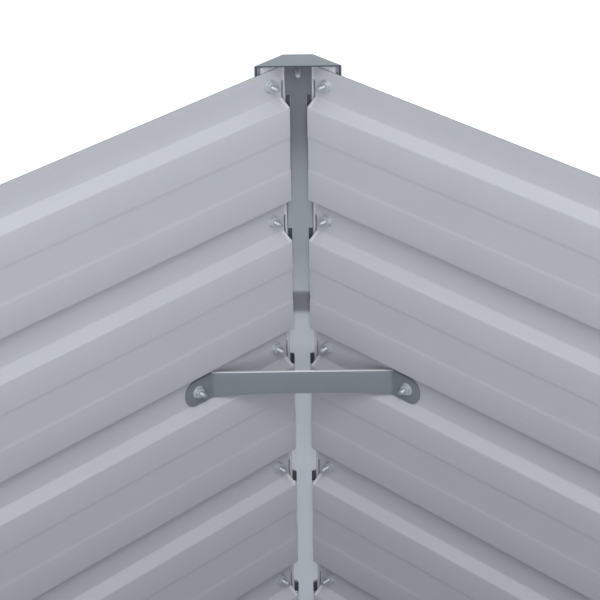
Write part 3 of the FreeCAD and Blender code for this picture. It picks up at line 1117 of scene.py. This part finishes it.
@dataclass(frozen=True)
class FlangeNut:
    """A hexagonal nut on a round flange."""

    flats: float = 7
    height: float = 3.2
    flange_size: float = 9.6
    flange_height: float = 0.8
    flange_slope: float = 0.8
    chamfer: float = 0.4
    chamfer_rise: float = 0.25

    def build(self) -> bmesh.types.BMesh:
        """Forge the nut, with its seat at Z 0.

        Returns:
            A bmesh.
        """
        mesh = bmesh.new()
        corner = self.flats / math.sqrt(3)
        bmesh.ops.create_cone(
            mesh, cap_ends=True, segments=6, radius1=corner, radius2=corner,
            depth=self.height - self.flange_height / 2,
            matrix=Matrix.Translation((0, 0, (self.height + self.flange_height / 2) / 2)),
        )
        bmesh.ops.inset_region(
            mesh, faces=tops(mesh), thickness=self.chamfer, depth=self.chamfer_rise)
        flange = bmesh.new()
        radius = self.flange_size / 2
        bmesh.ops.create_cone(
            flange, cap_ends=True, segments=24, radius1=radius, radius2=radius,
            depth=self.flange_height / 2, matrix=Matrix.Translation((0, 0, self.flange_height / 4)),
        )
        bmesh.ops.inset_region(
            flange, faces=tops(flange), thickness=self.flange_slope, depth=self.flange_height / 2)
        add_to(mesh, flange)
        return mesh


@dataclass(frozen=True)
class HexHead:
    """A hexagonal bolt head with a washer face."""

    flats: float = 7
    height: float = 2.8
    chamfer: float = 0.6
    washer_height: float = 0.4
    washer_share: float = 0.96

    def build(self) -> bmesh.types.BMesh:
        """Forge the head, with its seat at Z 0.

        Returns:
            A bmesh.
        """
        mesh = bmesh.new()
        corner = self.flats / math.sqrt(3)
        bmesh.ops.create_cone(
            mesh, cap_ends=True, segments=6, radius1=corner, radius2=corner,
            depth=self.height - self.washer_height,
            matrix=Matrix.Translation((0, 0, self.height / 2)),
        )
        bmesh.ops.inset_region(
            mesh, faces=tops(mesh), thickness=self.chamfer, depth=self.washer_height / 2)
        add_to(mesh, cylinder(self.flats / 2 * self.washer_share, 0, self.washer_height, 20))
        return mesh


def bolt_place(along: float, inward: float, up: float, side: int, outward: bool) -> Matrix:
    """Where a fastener's own axis goes on a wall, in a corner's axes.

    Args:
        along: Distance along the wall from the corner.
        inward: Where its seat lies, from the band into the bed.
        up: Its height.
        side: 1 for the wall on the right of the diagonal, -1 for the other.
        outward: Whether its Z axis points out of the bed.

    Returns:
        A matrix in millimetres.
    """
    across, deep = from_wall(along, inward)
    direction = Vector((-side, 1, 0)) / ROOT_2 * (-1 if outward else 1)
    turn = Vector((0, 0, 1)).rotation_difference(direction).to_matrix().to_4x4()
    return Matrix.Translation((side * across, deep, up)) @ turn


@dataclass
class Fasteners(CornerPiece):
    """The bolts or the nuts of one corner: one in every row of both walls, two in the brace."""

    size: float = 4
    pitch: float = 1.4
    reach: float = 10.5
    brace_thickness: float = 2
    nut_turn: float = 17
    bolt_turn: float = 23

    def places(self) -> list[tuple[float, float, float, float, int]]:
        """Find the corner's bolts.

        Returns:
            Each bolt as along, nut seat, head seat, height and side.
        """
        found = []
        for side in (1, -1):
            for row in range(SIZES.rows):
                height = SIZES.fold(row) + SIZES.bolt_height
                found.append((SIZES.bolt_setback, SIZES.play, SIZES.outside, height, side))
            height = SIZES.fold(SIZES.brace_row) + SIZES.brace_bolt_height
            seat = self.brace_thickness + 2 * SIZES.play
            found.append((SIZES.brace_hole, seat, SIZES.post_skin, height, side))
        return found

    def build_nuts(self, zinc: bpy.types.Material) -> bpy.types.Object:
        """Set the corner's nuts.

        Args:
            zinc: Their material.

        Returns:
            The finished piece.
        """
        self.kind = "nuts"
        mesh = bmesh.new()
        for count, (along, seat, _, height, side) in enumerate(self.places()):
            turn = Matrix.Rotation(math.radians(self.nut_turn * count), 4, "Z")
            add_to(mesh, FlangeNut().build(), bolt_place(along, seat, height, side, False) @ turn)
        return self.finish(mesh, [zinc], Slot.ZINC)

    def build_bolts(self, zinc: bpy.types.Material) -> bpy.types.Object:
        """Set the corner's bolts.

        Args:
            zinc: Their material.

        Returns:
            The finished piece.
        """
        self.kind = "bolts"
        mesh = bmesh.new()
        for count, (along, _, head, height, side) in enumerate(self.places()):
            turn = Matrix.Rotation(math.radians(self.bolt_turn * count), 4, "Z")
            add_to(mesh, HexHead().build(), bolt_place(along, -head, height, side, True) @ turn)
            rod = ThreadedRod(self.size, self.pitch, -head, self.reach)
            add_to(mesh, rod.build(), bolt_place(along, 0, height, side, False) @ turn)
        return self.finish(mesh, [zinc], Slot.ZINC)


@dataclass
class CapScrew(CornerPiece):
    """The screw that holds the cap's tongue and reaches through the post."""

    kind: str = "cap_screw"
    size: float = 4
    pitch: float = 1.4
    head_size: float = 8
    head_height: float = 2.4
    tip: float = 20.4
    seat: float = 4.25
    dome: float = 1.2

    def on_dome(self, edge: bmesh.types.BMEdge) -> bool:
        """Whether an edge of the head is its outer rim."""
        return is_bend(60)(edge) and all(vert.co.z < self.seat - SLACK for vert in edge.verts)

    def build(self, zinc: bpy.types.Material) -> bpy.types.Object:
        """Set the screw along the diagonal.

        Args:
            zinc: Its material.

        Returns:
            The finished piece.
        """
        height = SIZES.wall_height - SIZES.screw_drop
        mesh = ThreadedRod(self.size, self.pitch, self.seat, self.tip).build()
        head = cylinder(self.head_size / 2, self.seat - self.head_height, self.seat, 24)
        round_edges(head, self.on_dome, self.dome)
        add_to(mesh, head)
        place = Matrix.Translation((0, 0, height)) @ Matrix.Rotation(math.radians(-90), 4, "X")
        bmesh.ops.transform(mesh, matrix=place, verts=mesh.verts[:])
        return self.finish(mesh, [zinc], Slot.ZINC)


# ---- Studio ----


@dataclass(frozen=True)
class Lamp:
    """One soft lamp, by its place, aim, size and power."""

    name: str
    place: tuple[float, float, float]
    aim: tuple[float, float, float]
    size: float
    power: float

    def build(self) -> None:
        """Hang the lamp."""
        light = bpy.data.lights.new(self.name, "AREA")
        light.shape = "DISK"
        light.size = self.size
        light.energy = self.power
        lamp = bpy.data.objects.new(self.name, light)
        lamp.location = self.place
        towards = Vector(self.aim) - Vector(self.place)
        lamp.rotation_euler = towards.to_track_quat("-Z", "Y").to_euler()
        bpy.context.scene.collection.objects.link(lamp)


@dataclass(frozen=True)
class Studio:
    """A white floor, a white background and soft, even light."""

    floor_size: float = 24
    sky: str = "#F9FCFF"
    sky_strength: float = 0.72
    lamps: tuple[Lamp, ...] = (
        Lamp("front", (-3.1, -3.3, 1.9), (0.3, 0.3, 0.6), 2.4, 200),
        Lamp("top", (-1.6, -1.9, 3.8), (0.3, 0.3, 0.6), 2.0, 110),
    )

    def build(self) -> None:
        """Set up floor, sky and lamps."""
        bpy.context.scene.view_settings.view_transform = "Standard"
        mesh = bmesh.new()
        bmesh.ops.create_grid(mesh, x_segments=1, y_segments=1, size=self.floor_size / 2)
        data = bpy.data.meshes.new("floor")
        mesh.to_mesh(data)
        mesh.free()
        data.materials.append(FloorFinish().build())
        floor = bpy.data.objects.new("floor", data)
        bpy.context.scene.collection.objects.link(floor)
        world = bpy.data.worlds.new("studio")
        world.use_nodes = True
        tree = world.node_tree
        tree.nodes.clear()
        light = add_node(tree, "ShaderNodeBackground", inputs={
            "Color": linear(self.sky), "Strength": self.sky_strength})
        white = add_node(tree, "ShaderNodeBackground", inputs={
            "Strength": 1.0, "Color": (1, 1, 1, 1)})
        mix = add_node(tree, "ShaderNodeMixShader", inputs={
            0: seen_directly(tree), 1: light.outputs[0], 2: white.outputs[0]})
        add_node(tree, "ShaderNodeOutputWorld", inputs={"Surface": mix.outputs[0]})
        bpy.context.scene.world = world
        for lamp in self.lamps:
            lamp.build()


@dataclass(frozen=True)
class CornerView:
    """The photograph's camera, set from the corner that it looks into."""

    corner: Corner = Corner.BACK_RIGHT
    focal_pixels: float = 2253.6
    image_pixels: float = 600
    sensor_mm: float = 36
    centre_rise: float = 60
    clip_start: float = 0.05
    pitch: float = 28.6245
    yaw: float = -0.2185
    roll: float = -0.8976
    across: float = 5.13
    back: float = 1470.2
    height: float = 1417.2

    def build(self) -> bpy.types.Object:
        """Place the camera.

        Returns:
            The camera.
        """
        camera = bpy.data.cameras.new("camera")
        camera.sensor_width = self.sensor_mm
        camera.lens = self.focal_pixels * self.sensor_mm / self.image_pixels
        camera.shift_y = -self.centre_rise / self.image_pixels
        camera.clip_start = self.clip_start
        view = bpy.data.objects.new("camera", camera)
        bpy.context.scene.collection.objects.link(view)
        place = SIZES.corner_place(self.corner)
        # Seen from inside the bed the corner's X axis points to the left of the picture.
        stand = place @ Vector((-self.across, self.back, self.height))
        facing = math.radians(90 * self.corner.value - 45 + 180)
        turn = (
            Matrix.Rotation(facing - math.radians(self.yaw), 4, "Z")
            @ Matrix.Rotation(math.radians(90 - self.pitch), 4, "X")
            @ Matrix.Rotation(math.radians(self.roll), 4, "Z")
        )
        view.matrix_world = Matrix.Translation(stand * MM) @ turn
        bpy.context.scene.camera = view
        return view


# ---- The bed ----


class GardenBed:
    """The whole bed: four walls of planks and four corners."""

    def build(self) -> None:
        """Mix the finishes, then build every piece."""
        steel = PLANK_STEEL.build()
        edge = EDGE_AND_PAINTED_LIGHT.build()
        post_steel = POST_STEEL.build()
        cap_steel = CAP_STEEL.build()
        brace_steel = BRACE_STEEL.build()
        back = PAINTED_SHADE_SHEET.build()
        nut_zinc = NUT_ZINC.build()
        bolt_zinc = BOLT_ZINC.build()
        for wall in Wall:
            for row in range(SIZES.rows):
                Plank(wall, row).build(steel, edge, cap_steel)
        for corner in Corner:
            Column(corner).build(post_steel, back)
            Post(corner).build(post_steel, edge)
            Cap(corner).build(cap_steel, back)
            Brace(corner).build(brace_steel, edge)
            Fasteners(corner).build_bolts(bolt_zinc)
            Fasteners(corner).build_nuts(nut_zinc)
            CapScrew(corner).build(bolt_zinc)


def main() -> None:
    """Build the studio, the camera and the bed, and log each piece's face count."""
    logging.basicConfig(level=logging.INFO, format="%(message)s")
    Studio().build()
    CornerView().build()
    GardenBed().build()


if __name__ == "__main__":
    main()
